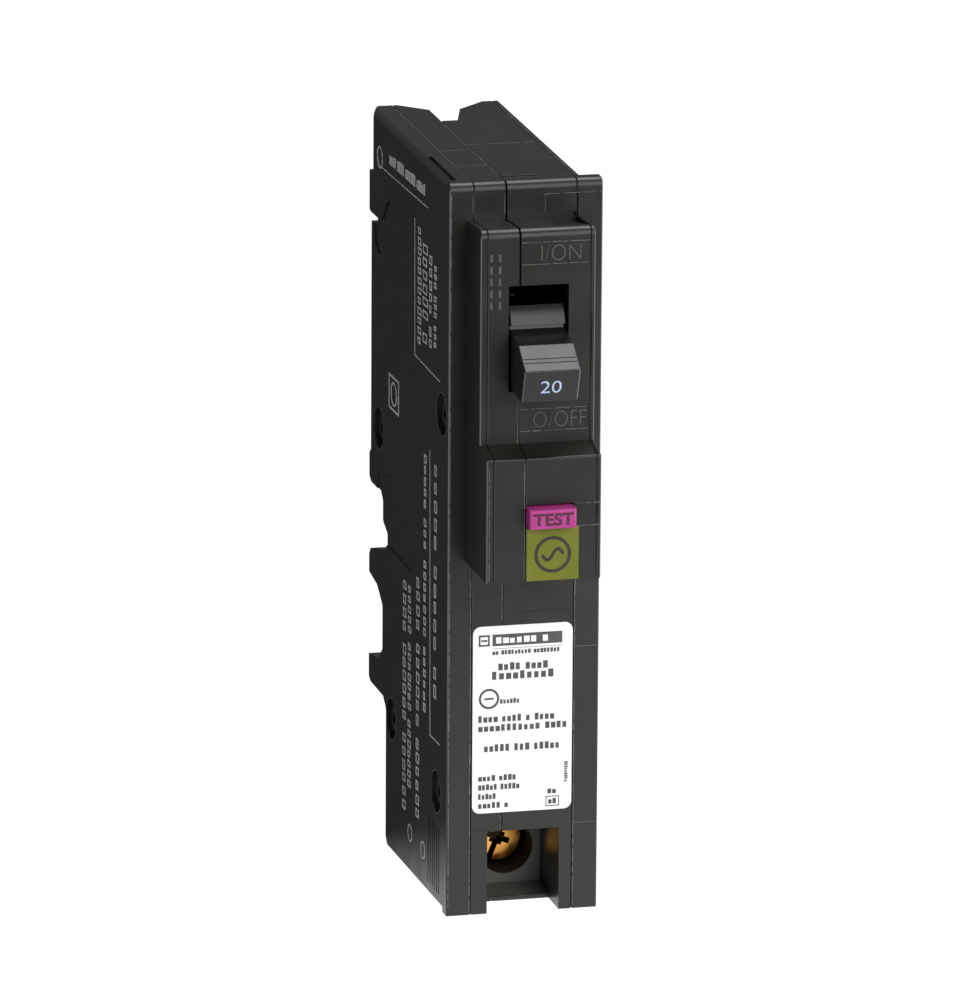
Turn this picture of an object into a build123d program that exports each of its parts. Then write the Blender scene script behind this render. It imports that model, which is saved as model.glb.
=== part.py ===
from build123d import *
import os
from math import atan2, cos, degrees, radians, sin

# A one-pole plug-on circuit breaker with ground-fault and arc-fault sensing.
# Millimetres. +Z is up towards the line end, the front with the handle faces -Y, and +X is
# to the right of someone who faces the front. The origin is the centre of the whole
# object's box, at its base. Inside this script a depth is counted backwards from the main
# front face, and every finished piece is moved by FACE_Y as it is written.

# ---- case ---------------------------------------------------------------------------
WIDTH = 25.4                 # one inch pole pitch
HALF = WIDTH / 2
CASE_DEPTH = 56.5            # main front face to the mounting plane of the back
TOP_FRONT = 122.6            # height of the top face at the front
TOP_BACK = 123.6             # the top rises slightly towards the back
HOUSING_BACK = 57.4          # the case reaches further back near the top
COVER_ROOM_TOP = 116.8       # the covers are solid above this height
LIP_BACK = 1.9               # a full-width lip runs along the front of the top
FRONT_REACH = 18.9           # handle when off, beyond the main front face
FACE_Y = -(HOUSING_BACK - FRONT_REACH) / 2
WALL = 1.6
SEAM_LEFT = -8.65            # left cover to electronics housing
SEAM_MIDDLE = -3.4           # electronics housing to mechanism housing
SEAM_RIGHT = 8.4             # mechanism housing to right cover
SEAM_BEVEL = 0.14
PLATE_LEFT = (-7.2, -6.0)    # partition of the electronics housing
PLATE_RIGHT = (6.2, 7.4)     # partition of the mechanism housing
PLATE_LOW = 58.5             # both partitions end here, above the sensing room

BLOCK_LEFT = -9.85           # side walls of the raised handle block and test block
BLOCK_RIGHT = 9.1
HANDLE_BLOCK = 9.5           # how far the handle block stands proud
HANDLE_BLOCK_TOP = 116.9
TEST_BLOCK = 14.4            # how far the test block stands proud
TEST_BLOCK_TOP = 80.3
TEST_BLOCK_LOW = 59.8

# ---- handle -------------------------------------------------------------------------
PIVOT = (-1.3, 98.9)         # depth and height of the handle pivot
DRUM_R = 8.15
ROOT_R = 7.0
HANDLE_X = (-4.85, 4.35)
HANDLE_OFF = 20.0            # degrees below level when off, and above when on
SHIELD_START = 35.0          # the drum's shields, in degrees from the lever
SHIELD_END = 58.4
WINDOW_HALF = 8.7            # half height of the handle window
WINDOW_X = (-5.2, 4.7)

# ---- switching mechanism ------------------------------------------------------------
ARM = (19.0, 88.0)           # contact arm pivot
ARM_X = (-1.25, 0.75)
ARM_OPEN = 18.0              # degrees that the open contact arm leans to the front
CONTACT_X = -0.25
CONTACT_HEIGHT = 21.5        # contact above the arm pivot
CRADLE = (30.0, 99.0)        # cradle pivot
ARMATURE = (39.4, 87.2)      # armature pivot
ROCKER = (20.0, 52.0)        # trip rocker pivot
PIN_R = 1.2
THIN_PIN_R = 0.8
RUNNING_GAP = 0.05
PIN_X = (-7.1, 7.3)
PRESS_GAP = 0.01

# ---- terminals ----------------------------------------------------------------------
LUG_X = 0.3                  # load lug, on the axis of its screwdriver pocket
LUG_Z = 7.5
POCKET_R = 4.7
POCKET_Y = 12.6
HEAD_Y = 18.0
HEAD_R = 4.2
WIRE_Y = 28.4
WIRE_R = 2.1
NEUTRAL_X = -8.3             # load neutral lug, hidden behind the left leg
NEUTRAL_HEAD_Y = 20.0
NEUTRAL_HEAD_R = 2.4
NEUTRAL_WIRE_Y = 29.3
NEUTRAL_WIRE_R = 1.7
FOOT_TOP = 16.0
FLOOR = 3.0

# ---- sensing and tripping -----------------------------------------------------------
TOROID = (0.3, 32.6)         # sideways place and depth of the sensor ring
TOROID_Z = (43.0, 49.5)
TOROID_R = (3.7, 6.8)
COIL = (2.5, 9.4)            # sideways place and depth of the trip coil
COIL_Z = (26.0, 42.0)
BUTTON_X = (-3.3, 4.4)
BUTTON_Z = (69.1, 72.3)
BUTTON_REACH = 17.0
BUTTON_AXIS = (0.5, 70.8)

RIVETS = [(4.75, 83.5), (49.2, 70.4), (7.4, 19.2), (39.6, 22.6)]   # depth, height
RIVET_RECESS = (3.5, 1.1)    # radius and depth
RIVET_HEAD_R = 2.5
RIVET_R = 1.3
POST_R = 2.6


# ---- helpers ------------------------------------------------------------------------
def box(x, y, z):
    """Axis-aligned block; each argument is a pair of limits."""
    size = Box(x[1] - x[0], y[1] - y[0], z[1] - z[0])
    return Pos(sum(x) / 2, sum(y) / 2, sum(z) / 2) * size


def rod_x(place, r, x):
    """Round bar along X; place is depth and height."""
    bar = Rot(0, 90, 0) * Cylinder(r, x[1] - x[0])
    return Pos(sum(x) / 2, place[0], place[1]) * bar


def rod_y(place, r, y):
    """Round bar along Y; place is sideways position and height."""
    bar = Rot(90, 0, 0) * Cylinder(r, y[1] - y[0])
    return Pos(place[0], sum(y) / 2, place[1]) * bar


def rod_z(place, r, z):
    """Round bar along Z; place is sideways position and depth."""
    return Pos(place[0], place[1], sum(z) / 2) * Cylinder(r, z[1] - z[0])


def outline(points, rounds=()):
    """A face in the depth-height plane; rounds lists corners as depth, height, radius."""
    face = Polygon(*points, align=None)
    for depth, height, radius in rounds:
        corner = min(face.vertices(), key=lambda v: abs(v.X - depth) + abs(v.Y - height))
        face = fillet(corner, radius)
    return face


def slab(face, x):
    """The face, pushed along X between two limits."""
    return extrude(Plane.YZ.offset(x[0]) * face, amount=x[1] - x[0], dir=(1, 0, 0))


def prism(points, x, rounds=()):
    return slab(outline(points, rounds), x)


def tall(points, z):
    """An outline seen from above (sideways, depth), pushed along Z."""
    face = Plane.XY.offset(z[0]) * Polygon(*points, align=None)
    return extrude(face, amount=z[1] - z[0], dir=(0, 0, 1))


def about_x(solid, place, angle):
    """Turn a solid about the X line through a depth and height; positive lowers the front."""
    return Pos(0, place[0], place[1]) * Rot(angle, 0, 0) * Pos(0, -place[0], -place[1]) * solid


def soften(solid, x, size):
    """A small bevel round the outline of the solid's flat side at x."""
    side = max((f for f in solid.faces() if abs(f.center().X - x) < 0.01), key=lambda f: f.area)
    return chamfer(side.outer_wire().edges(), size)


def coil_sleeve(r_in, r_out, length, turns):
    """A close-wound spring along +Z: one scalloped ring for each turn, in one piece."""
    pitch = length / turns
    points = [(r_in, 0)]
    for turn in range(turns):
        points.append((r_out - 0.35 * (r_out - r_in), turn * pitch))
        points.append((r_out, (turn + 0.5) * pitch))
    points.append((r_out - 0.35 * (r_out - r_in), length))
    points.append((r_in, length))
    return revolve(Plane.XZ * Polygon(*points, align=None), Axis.Z)


def together(solids):
    """Several separate solids as one piece."""
    group = solids[0]
    for solid in solids[1:]:
        group = group + solid
    return group


def write(name, solid):
    """Move a finished piece into the object's frame and write its STEP file."""
    export_step(Pos(0, FACE_Y, 0) * solid, f"parts/{name}.step")


# ---- case outlines ------------------------------------------------------------------
def case_outline(foot_step):
    """Body of the case seen from the side, with the rail hook and the neutral notch.

    The side covers stand on a small step at the front of the foot.
    """
    points = [
        (0, 0), (0, TOP_FRONT), (HOUSING_BACK, TOP_BACK), (HOUSING_BACK, 113.6),
        (CASE_DEPTH, 113.0), (CASE_DEPTH, 106.3), (54.9, 105.8), (54.9, 65.4),
        (56, 64.6), (56, 60.6), (54.6, 59.8),
        (48.4, 59.8), (46.9, 58.5), (46.9, 55.0), (43.5, 53.6), (43.5, 50.9), (55.0, 48.2),
        (56, 47.0), (56, 43.9), (50.2, 43.1), (46.1, 40.6), (46.1, 33.0), (49.0, 30.6),
        (56, 29.6), (56, 25.7), (54.8, 25.0), (45.6, 25.0), (43.3, 23.4), (43.3, 1.2),
        (42.1, 0),
    ]
    if foot_step:
        points += [(2.7, 0.9), (2.7, 0)]
    rounds = [(0, TOP_FRONT, 1.4), (HOUSING_BACK, TOP_BACK, 0.6), (46.9, 55.0, 0.8),
              (43.5, 53.6, 0.8), (46.1, 40.6, 1.5), (43.3, 23.4, 1.2), (46.9, 58.5, 0.8)]
    return outline(points, rounds)


def block_outline():
    """Handle block and test block, in front of the main face."""
    points = [
        (0.5, 116.4), (-HANDLE_BLOCK, HANDLE_BLOCK_TOP), (-HANDLE_BLOCK, 81.6),
        (-TEST_BLOCK, TEST_BLOCK_TOP), (-TEST_BLOCK, TEST_BLOCK_LOW), (0.5, TEST_BLOCK_LOW),
    ]
    rounds = [(-HANDLE_BLOCK, HANDLE_BLOCK_TOP, 1.4), (-TEST_BLOCK, TEST_BLOCK_TOP, 0.35)]
    return outline(points, rounds)


def body_room():
    """Room inside the body, above the solid foot."""
    return outline([
        (WALL, FOOT_TOP), (WALL, 121.0), (42.5, 121.0), (42.5, 116.5), (53.0, 116.5),
        (53.0, 61.4), (46.5, 61.4), (45.2, 58.0), (45.2, 56.0), (41.8, 54.8), (41.8, 49.6),
        (52.5, 47.0), (52.5, 45.0), (44.4, 42.0), (44.4, 32.0), (50.5, 28.2), (50.5, 26.6),
        (44.6, 26.6), (41.7, 24.0), (41.7, FOOT_TOP),
    ])


def block_room():
    """Room inside the handle block and the test block."""
    front = -TEST_BLOCK + WALL
    step = -HANDLE_BLOCK + WALL
    low = TEST_BLOCK_LOW + WALL
    return outline([(WALL + 0.5, low), (front, low), (front, 78.7), (step, 79.9),
                    (step, 115.2), (WALL + 0.5, 114.8)])


def rivet_posts(x):
    """A round post about each rivet; the lower front one stands on the foot."""
    posts = [rod_x(place, POST_R, x) for place in RIVETS]
    depth, height = RIVETS[2]
    posts.append(box(x, (depth - POST_R, depth + POST_R), (FOOT_TOP - 0.5, height)))
    return posts


def cut_rivets(solid):
    for place in RIVETS:
        solid = solid - rod_x(place, RIVET_R + PRESS_GAP, (-HALF - 1, HALF + 1))
    return solid


def cut_terminals(solid):
    """Screwdriver recess and pockets, the terminals' room and the two wire holes."""
    recess = prism([(-1, -1), (6.6, -1), (6.6, 0.7), (POCKET_Y, 1.3), (POCKET_Y, 14.0),
                    (-1, 14.0)], (-5.85, 6.25))
    room_y = (22.0, 41.7)
    solid = solid - recess
    solid = solid - rod_y((LUG_X, LUG_Z), POCKET_R, (POCKET_Y - 1, room_y[0] + 1))
    solid = solid - box((-HALF + WALL, -5.8), (2.2, room_y[0] + 1), (FLOOR, 13.0))
    solid = solid - box((-HALF + WALL, HALF - WALL), room_y, (FLOOR, FOOT_TOP + 1))
    solid = solid - rod_z((LUG_X, WIRE_Y), WIRE_R, (-1, FLOOR + 1))
    solid = solid - Pos(LUG_X, WIRE_Y, 0.6) * Cone(WIRE_R + 1.2, WIRE_R, 1.2)
    return solid - rod_z((NEUTRAL_X, NEUTRAL_WIRE_Y), NEUTRAL_WIRE_R, (-1, FLOOR + 1))


def cut_window(solid):
    height = (PIVOT[1] - WINDOW_HALF, PIVOT[1] + WINDOW_HALF)
    return solid - box(WINDOW_X, (-12, 1), height)


# ---- case pieces --------------------------------------------------------------------
def along_top(solid):
    """Lay a solid, drawn on a level top that starts at height 0, along the rising top."""
    slope = degrees(atan2(TOP_BACK - TOP_FRONT, 54.6))
    return Pos(0, 0, TOP_FRONT) * Rot(slope, 0, 0) * solid


def left_top_edge():
    """What the rounded edge, a long narrow slot and the cut back corner take away."""
    r = 1.3
    corner = box((-HALF - 1, r - HALF), (LIP_BACK, 70), (-r, 3))
    corner = corner - rod_y((r - HALF, -r), r, (LIP_BACK - 1, 71))
    slot = box((-11.95, -11.0), (LIP_BACK + 0.6, 19.6), (-0.5, 3))
    cut_back = [(-HALF - 1, 51.7), (-11.0, HOUSING_BACK), (-11.0, 60), (-HALF - 1, 60)]
    back = tall(cut_back, (113, 126))
    return along_top(corner + slot) + back


def right_top_edge():
    """What the steep slope outside the right seam takes away, behind the front lip."""
    slope = Pos(9.2, 0, 0) * Rot(0, 52, 0) * box((-1, 12), (LIP_BACK + 0.4, 70), (0, 8))
    return along_top(slope)


def cover(outer, seam, block_side):
    """A side cover: a tray whose flat wall is the side of the object."""
    x = (min(outer, seam), max(outer, seam))
    tray = slab(case_outline(foot_step=True), x)
    front = [e for e in tray.edges() if abs(e.center().X - outer) < 0.01
             and abs(e.center().Y) < 0.01 and e.length > 30]
    tray = chamfer(front, 0.2)
    tray = soften(tray, seam, SEAM_BEVEL)
    wall_x = outer - WALL if outer > 0 else outer + WALL
    hollow = slab(body_room(), (min(wall_x, seam), max(wall_x, seam)))
    tray = tray - (hollow - box((-HALF, HALF), (-1, 70), (COVER_ROOM_TOP, 130)))
    post_x = (min(wall_x - 0.1, seam), max(wall_x + 0.1, seam))
    for post in rivet_posts(post_x):
        tray = tray + post
    block = slab(block_outline(), (min(block_side, seam), max(block_side, seam)))
    block = soften(block, block_side, 0.2)
    block = soften(block, seam, SEAM_BEVEL)
    tray = cut_rivets(cut_terminals(tray + block))
    radius, depth = RIVET_RECESS
    recess_x = (outer - depth, outer + 1) if outer > 0 else (outer - 1, outer + depth)
    for place in RIVETS:
        tray = tray - rod_x(place, radius, recess_x)
    return tray


def make_left_cover():
    """Left cover, with the relief about the line jaw and the grip ribs low at the front."""
    piece = cover(-HALF, SEAM_LEFT, BLOCK_LEFT)
    jaw_relief = prism([(34.3, 110.3), (43.0, 110.6), (45.5, 108.6), (47.5, 106.4),
                        (50.3, 105.5), (53.2, 105.1), (52.9, 101.6), (49.5, 100.0),
                        (34.5, 103.4)], (-HALF - 1, -HALF + 0.25))
    rail_relief = prism([(50, 63.0), (43.0, 63.4), (41.3, 64.4), (35.0, 62.8), (27.5, 64.6),
                         (25.2, 64.9), (25.2, 52.6), (26.4, 51.6), (50, 51.6)],
                        (-HALF - 1, -HALF + 0.22))
    edge_notch = box((-HALF - 1, -HALF + 1.1), (50.4, 58), (104.6, 106.0))
    piece = piece - jaw_relief - rail_relief - edge_notch - left_top_edge()
    for depth in (12.0, 40.0):
        piece = piece + box((-HALF + WALL - 0.1, -10.2), (depth, depth + 1.2), (72, 112))
    for rib in range(6):
        depth = 5.0 + rib * 1.5
        piece = piece - box((-HALF - 1, -HALF + 0.15), (depth, depth + 0.5), (2.2, 13.6))
    return piece


def make_right_cover():
    piece = cover(HALF, SEAM_RIGHT, BLOCK_RIGHT) - right_top_edge()
    panel = box((SEAM_RIGHT + SEAM_BEVEL, HALF - 0.4), (-0.18, 0.3), (116.3, 120.2))
    piece = piece + panel
    piece = piece - box((SEAM_RIGHT, HALF), (-1, 0.08), (44.6, 44.75))
    return piece - box((6, HALF), (-1, 0.08), (14.4, 14.55))


def housing(x, plate_x):
    """A middle slice of the case: an open frame with a partition in its upper part."""
    frame = slab(case_outline(foot_step=False), x)
    frame = soften(frame, x[0], SEAM_BEVEL)
    frame = soften(frame, x[1], SEAM_BEVEL)
    block = slab(block_outline(), x)
    block = soften(block, x[0], SEAM_BEVEL)
    block = soften(block, x[1], SEAM_BEVEL)
    frame = frame + block
    frame = frame - slab(body_room(), x) - slab(block_room(), x)
    plate = slab(body_room(), plate_x) + slab(block_room(), plate_x)
    plate = plate - box((-HALF, HALF), (-20, 60), (0, PLATE_LOW))
    frame = frame + plate
    for post in rivet_posts(x):
        frame = frame + post
    frame = cut_window(cut_rivets(cut_terminals(frame)))
    for place in (PIVOT, ARM, CRADLE):
        frame = frame - rod_x(place, PIN_R + PRESS_GAP, plate_x)
    return frame - rod_x(ARMATURE, THIN_PIN_R + PRESS_GAP, plate_x)


def make_electronics_housing():
    """Slice that carries the circuit board on its left."""
    piece = housing((SEAM_LEFT, SEAM_MIDDLE), PLATE_LEFT)
    corner = [(SEAM_LEFT - 1, 58.6), (SEAM_MIDDLE + 1, 51.2), (SEAM_MIDDLE + 1, 60),
              (SEAM_LEFT - 1, 60)]
    piece = piece - tall(corner, (118, 126))
    for depth in (14.6, 24.2):
        piece = piece - box((SEAM_LEFT + 0.1, SEAM_MIDDLE - 0.1), (depth, depth + 0.15),
                            (122.7, 126))
    return piece - box((SEAM_LEFT + 0.1, -5), (-1, 0.08), (14.2, 14.35))


def make_mechanism_housing():
    """Widest slice: handle, contacts, test button and the back clips sit in it."""
    piece = housing((SEAM_MIDDLE, SEAM_RIGHT), PLATE_RIGHT)
    seat = box((SEAM_MIDDLE, SEAM_RIGHT), (-8.0, -7.0), (61.2, 75.0))
    leaf_foot = box((SEAM_MIDDLE, SEAM_RIGHT), (-4.6, -3.6), (61.2, 65.0))
    panel = box((3.2, SEAM_RIGHT - SEAM_BEVEL), (-0.18, 0.3), (116.3, 120.2))
    shelf = box((SEAM_MIDDLE, SEAM_RIGHT), (24.6, 45.2), (41.8, TOROID_Z[0]))
    shelf = shelf - rod_z(TOROID, TOROID_R[0] + 0.5, (40, 45)) - rod_z((-1.7, 40.6), 1.1, (40, 45))
    piece = piece + seat + leaf_foot + panel + shelf
    piece = piece - rod_y(BUTTON_AXIS, 1.4, (-9, -6))
    piece = piece - box((BUTTON_X[0] - 0.6, BUTTON_X[1] + 0.2), (-16, -12), (68.9, 72.6))
    corner = [(SEAM_MIDDLE - 1, 44.1), (-0.7, 44.1), (1.6, 52.0), (7.4, 57.6), (7.4, 60),
              (SEAM_MIDDLE - 1, 60)]
    piece = piece - tall(corner, (118, 126))
    piece = piece - box((-2.6, 3.8), (52, 60), (94.0, 105.2))
    piece = piece - box((-2.5, 3.7), (42, 60), (33.7, 39.7))
    piece = piece - rod_y((1.0, 79.0), 1.35, (52, 60))
    notch = prism([(0.2, 118.5), (-7.8, 118.5), (-7.8, 116.6), (0.2, 115.5)], (3.3, SEAM_RIGHT))
    piece = piece - notch
    piece = piece - box((3.2, 8.3), (-1, 0.9), (116.45, 117.2))
    piece = piece - box((-3.2, 3.5), (3.2, 3.9), (121.6, 126))
    piece = piece - box((SEAM_MIDDLE + 0.1, SEAM_RIGHT - 0.1), (26.6, 26.75), (122.9, 126))
    piece = piece - box((SEAM_MIDDLE - 1, SEAM_MIDDLE + 0.22), (-12, 1.2), (107.6, 126))
    for height in (111.1, 83.7):
        piece = piece - box((-3.2, 8.1), (-10, -HANDLE_BLOCK + 0.1), (height, height + 3.4))
    piece = piece - box((4.9, 8.2), (-15, -TEST_BLOCK + 0.08), (68.9, 72.4))
    return piece - box((-2.3, SEAM_RIGHT), (-1, 0.08), (50.9, 51.05))


def make_rivets():
    """Four rivets along X that clamp the four slices."""
    grip = HALF - RIVET_RECESS[1]
    group = []
    for place in RIVETS:
        rivet = rod_x(place, RIVET_R, (-grip - 0.1, grip + 0.1))
        for side in (-1, 1):
            head = Pos(side * (grip + 0.3), place[0], place[1]) * Rot(0, 90 * side, 0) \
                * Cone(RIVET_HEAD_R, RIVET_HEAD_R - 0.6, 0.6)
            rivet = rivet + head
        rivet = rivet - rod_x(place, 0.8, (-HALF, -grip - 0.2))
        group.append(rivet)
    return together(group)


# ---- handle and test button ---------------------------------------------------------
def wedge(start, end, reach):
    """A triangle from the pivot that spans two angles, measured up from the lever."""
    points = [(0, 0)]
    for angle in (start, end):
        points.append((-reach * cos(radians(angle)), reach * sin(radians(angle))))
    return Polygon(*points, align=None)


def make_handle():
    """Lever, drum and shields, drawn level and then turned down to off."""
    lever = [(0, 3.2), (-6.15, 3.56), (-12.17, 4.46), (-17.72, 2.95), (-17.72, -2.95),
             (-12.17, -4.46), (-6.15, -3.56), (0, -3.2)]
    rounds = [(-12.17, 4.46, 0.4), (-17.72, 2.95, 0.4), (-17.72, -2.95, 0.4),
              (-12.17, -4.46, 0.4)]
    profile = outline(lever, rounds) + Circle(3.4)
    profile = profile + (Circle(ROOT_R) & wedge(-SHIELD_END, SHIELD_END, 30))
    for start, end in ((SHIELD_START, SHIELD_END), (-SHIELD_END, -SHIELD_START)):
        profile = profile + (Circle(DRUM_R) & wedge(start, end, 30))
    level = slab(profile, HANDLE_X)
    for x in HANDLE_X:
        level = soften(level, x, 0.18)
    level = level - rod_x((0, 0), PIN_R + RUNNING_GAP, (-10, 10))
    for share in (0.52, 0.67):
        place = (-12.17 - 5.55 * share, 4.46 - 1.51 * share)
        for side in (1, -1):
            level = level - rod_x((place[0], side * place[1]), 0.12, (-10, 10))
    return Pos(0, PIVOT[0], PIVOT[1]) * Rot(HANDLE_OFF, 0, 0) * level


def make_test_button():
    """Cap with softened edges, a flange behind the wall and a guide stem."""
    cap = box(BUTTON_X, (-BUTTON_REACH, -12.7), BUTTON_Z)
    front = [e for e in cap.edges() if abs(e.center().Y + BUTTON_REACH) < 0.01]
    cap = fillet(front, 0.35)
    flange = box(BUTTON_X, (-12.7, -11.4), (67.9, 73.7))
    return cap + flange + rod_y(BUTTON_AXIS, 1.25, (-11.5, -6.4))


def make_test_spring():
    sleeve = coil_sleeve(1.35, 2.05, 3.3, 6)
    return Pos(BUTTON_AXIS[0], -8.03, BUTTON_AXIS[1]) * Rot(90, 0, 0) * sleeve


def make_test_contact():
    """Copper leaf that the stem of the test button closes."""
    leaf = box((-1.5, 2.5), (-3.6, -3.3), (62.0, 75.5))
    dimple = rod_y(BUTTON_AXIS, 0.7, (-4.0, -3.3))
    return leaf + dimple


def make_status_badge():
    badge = box((-3.25, 5.4), (-TEST_BLOCK - 0.25, -TEST_BLOCK), (60.0, 68.7))
    front = [e for e in badge.edges() if abs(e.center().Y + TEST_BLOCK + 0.25) < 0.01]
    return chamfer(front, 0.1)


def make_rating_label():
    """Thin sheet on the main face, with rounded corners."""
    sheet = RectangleRounded(16.7, 31.6, 1.3)
    return extrude(Plane.XZ * Pos(-0.1, 33.0) * sheet, amount=0.12, dir=(0, -1, 0))


# ---- line side and contacts ---------------------------------------------------------
def make_line_jaw():
    """Two sprung fingers that grip the panel's flat blade."""
    z = (95.2, 104.4)
    left = [(-2.3, 41.0), (-2.3, 43.0), (-1.1, 50.6), (-1.9, 53.8), (-1.1, 53.8),
            (-0.2, 50.6), (-1.3, 42.2), (0.6, 42.2), (0.6, 41.0)]
    right = [(1.2 - x, y) for x, y in left]
    return tall(left, z) + tall(right, z)


def make_jaw_spring():
    """Steel clip round the outside of the jaw."""
    z = (97.0, 102.6)
    clip = box((-3.3, 4.5), (39.8, 40.6), z)
    for x in ((-3.3, -2.6), (3.8, 4.5)):
        clip = clip + box(x, (39.8, 49.0), z)
    return clip


def make_line_strap():
    strap = box((-2.8, 2.4), (22.95, 24.15), (105.0, 112.0))
    strap = strap + box((-2.8, 2.4), (22.95, 42.2), (105.0, 106.2))
    return strap + box((-1.2, 2.4), (41.0, 42.2), (104.4, 106.2))


def make_fixed_contact():
    return rod_y((CONTACT_X, ARM[1] + CONTACT_HEIGHT), 2.2, (21.75, 22.95))


def make_contact_arm():
    points = [(-2.8, -3.2), (2.8, -3.2), (4.7, -1.4), (4.7, 1.2), (3.0, 3.0), (1.4, 8.0),
              (1.4, 24.0), (-1.6, 24.0), (-1.6, 8.0), (-3.0, 3.0)]
    points = [(ARM[0] + dy, ARM[1] + dz) for dy, dz in points]
    arm = prism(points, ARM_X)
    arm = arm - rod_x(ARM, PIN_R + RUNNING_GAP, (-5, 5))
    arm = arm + rod_x((ARM[0] + 3.7, ARM[1]), 0.5, (ARM_X[1] - 0.2, 3.4))
    return about_x(arm, ARM, ARM_OPEN)


def make_moving_contact():
    height = ARM[1] + CONTACT_HEIGHT
    tip = rod_y((CONTACT_X, height), 2.0, (ARM[0] + 1.4, ARM[0] + 2.6))
    return about_x(tip, ARM, ARM_OPEN)


def make_cradle():
    """Trip lever; its long end rests in the armature's notch."""
    points = [(28.2, 102.0), (32.0, 102.0), (33.5, 97.0), (39.2, 81.6), (39.2, 80.7),
              (36.4, 80.7), (31.2, 94.5), (24.0, 96.0), (22.5, 99.5), (24.5, 100.5)]
    plate = prism(points, (3.9, 5.1), [(28.2, 102.0, 1.2), (32.0, 102.0, 1.2)])
    hook = rod_x((23.8, 98.2), 0.5, (0.95, 4.0))
    return plate + hook - rod_x(CRADLE, PIN_R + RUNNING_GAP, (-8, 8))


def make_toggle_spring():
    """Extension spring between the arm's peg and the cradle's peg."""
    sleeve = coil_sleeve(0.6, 1.1, 7.7, 14)
    return Pos(2.1, 23.0, 89.85) * sleeve


def pin_between_plates(place, r):
    return rod_x(place, r, PIN_X)


def make_arc_plates():
    plates = []
    for number in range(5):
        depth = 8.4 + number * 2.7
        plates.append(box((-5.0, 4.6), (depth, depth + 0.9), (113.4, 119.8)))
    return together(plates)


def make_arc_chute_sides():
    y = (7.6, 21.4)
    z = (106.0, 120.4)
    return together([box((-5.5, -5.0), y, z), box((4.6, 5.1), y, z)])


# ---- tripping -----------------------------------------------------------------------
def make_bimetal():
    return box((-1.5, 3.5), (44.6, 45.4), (59.0, 84.6))


def make_magnet_yoke():
    yoke = box((-3.2, 5.2), (45.4, 46.4), (63.0, 73.0))
    for x in ((-3.2, -2.2), (4.2, 5.2)):
        yoke = yoke + box(x, (41.2, 46.4), (63.0, 73.0))
    return yoke


def make_armature():
    plate = box((-3.0, 5.0), (38.9, 39.9), (63.0, ARMATURE[1]))
    plate = plate + rod_x(ARMATURE, 1.6, (-3.0, 5.0))
    plate = plate - rod_x(ARMATURE, THIN_PIN_R + RUNNING_GAP, (-8, 8))
    return plate - box((3.6, 5.5), (38, 41), (79.4, 82.8))


def make_armature_spring():
    sleeve = coil_sleeve(THIN_PIN_R + 0.15, 1.5, 2.2, 4)
    return Pos(-5.5, ARMATURE[0], ARMATURE[1]) * Rot(0, 90, 0) * sleeve


def make_calibration_screw():
    screw = rod_y((1.0, 79.0), 1.3, (45.5, 54.2))
    return screw - box((-1, 3), (53.6, 55), (78.75, 79.25))


def swept_lead(points, radius, bends):
    """A round lead along straight runs with a bend of its own radius at each corner."""
    path = FilletPolyline(*points, radius=bends)
    section = Plane(path @ 0, z_dir=path % 0) * Circle(radius)
    lead = sweep(section, path=path)
    expected = 3.14159 * radius ** 2 * path.length
    print("lead length", round(path.length, 1), "volume ratio", round(lead.volume / expected, 3))
    return lead


def make_braid():
    """Flexible copper braid from the contact arm round to the top of the bimetal."""
    points = [(-0.25, 22.9, 85.4), (-0.25, 26.4, 84.6), (-4.8, 31.0, 83.4),
              (-4.8, 40.4, 83.4), (-0.9, 42.6, 83.4), (-0.9, 44.6, 83.4)]
    return swept_lead(points, 0.75, [1.8, 2.4, 1.6, 1.4])


def make_load_strap():
    """Copper bar from the foot of the bimetal, through the sensor ring, to the load lug."""
    x = (0.6, 2.8)
    strap = box(x, (43.4, 44.6), (56.4, 62.4))
    strap = strap + box(x, (32.0, 44.6), (56.4, 57.6))
    strap = strap + box(x, (32.0, 33.2), (8.0, 57.6))
    return strap + box((-3.9, 4.5), (32.0, 33.2), (3.5, 12.0))


def make_fault_sensor():
    """Sensor ring that both load conductors pass through."""
    ring = rod_z(TOROID, TOROID_R[1], TOROID_Z) - rod_z(TOROID, TOROID_R[0], TOROID_Z)
    rims = [e for e in ring.edges().filter_by(GeomType.CIRCLE)
            if abs(e.radius - TOROID_R[1]) < 0.01]
    return fillet(rims, 1.2)


def make_trip_coil():
    """Bobbin with two flanges and its winding, bored for the plunger."""
    body = rod_z(COIL, 5.6, COIL_Z)
    for z in (COIL_Z[0], COIL_Z[1] - 1.0):
        flange = box((COIL[0] - 5.9, COIL[0] + 5.9), (COIL[1] - 5.9, COIL[1] + 5.9), (z, z + 1))
        body = body + flange
    return body - rod_z(COIL, 2.0, COIL_Z)


def make_coil_bracket():
    """Steel frame round the coil; its top plate guides the plunger."""
    x = (COIL[0] - 6.0, COIL[0] + 6.0)
    front = WALL + 0.05
    frame = box(x, (front, front + 1.2), (24.6, 43.2))
    frame = frame + box(x, (front, COIL[1] + 5.0), (24.6, COIL_Z[0]))
    frame = frame + box(x, (front, COIL[1] + 5.0), (COIL_Z[1], 43.2))
    return frame - rod_z(COIL, 2.0, (COIL_Z[1] - 1, 45))


def make_trip_plunger():
    rod = rod_z(COIL, 1.9, (27.2, 38.8)) + rod_z(COIL, 1.1, (38.0, 49.6))
    return rod + rod_z(COIL, 2.0, (48.7, 49.6))


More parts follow.
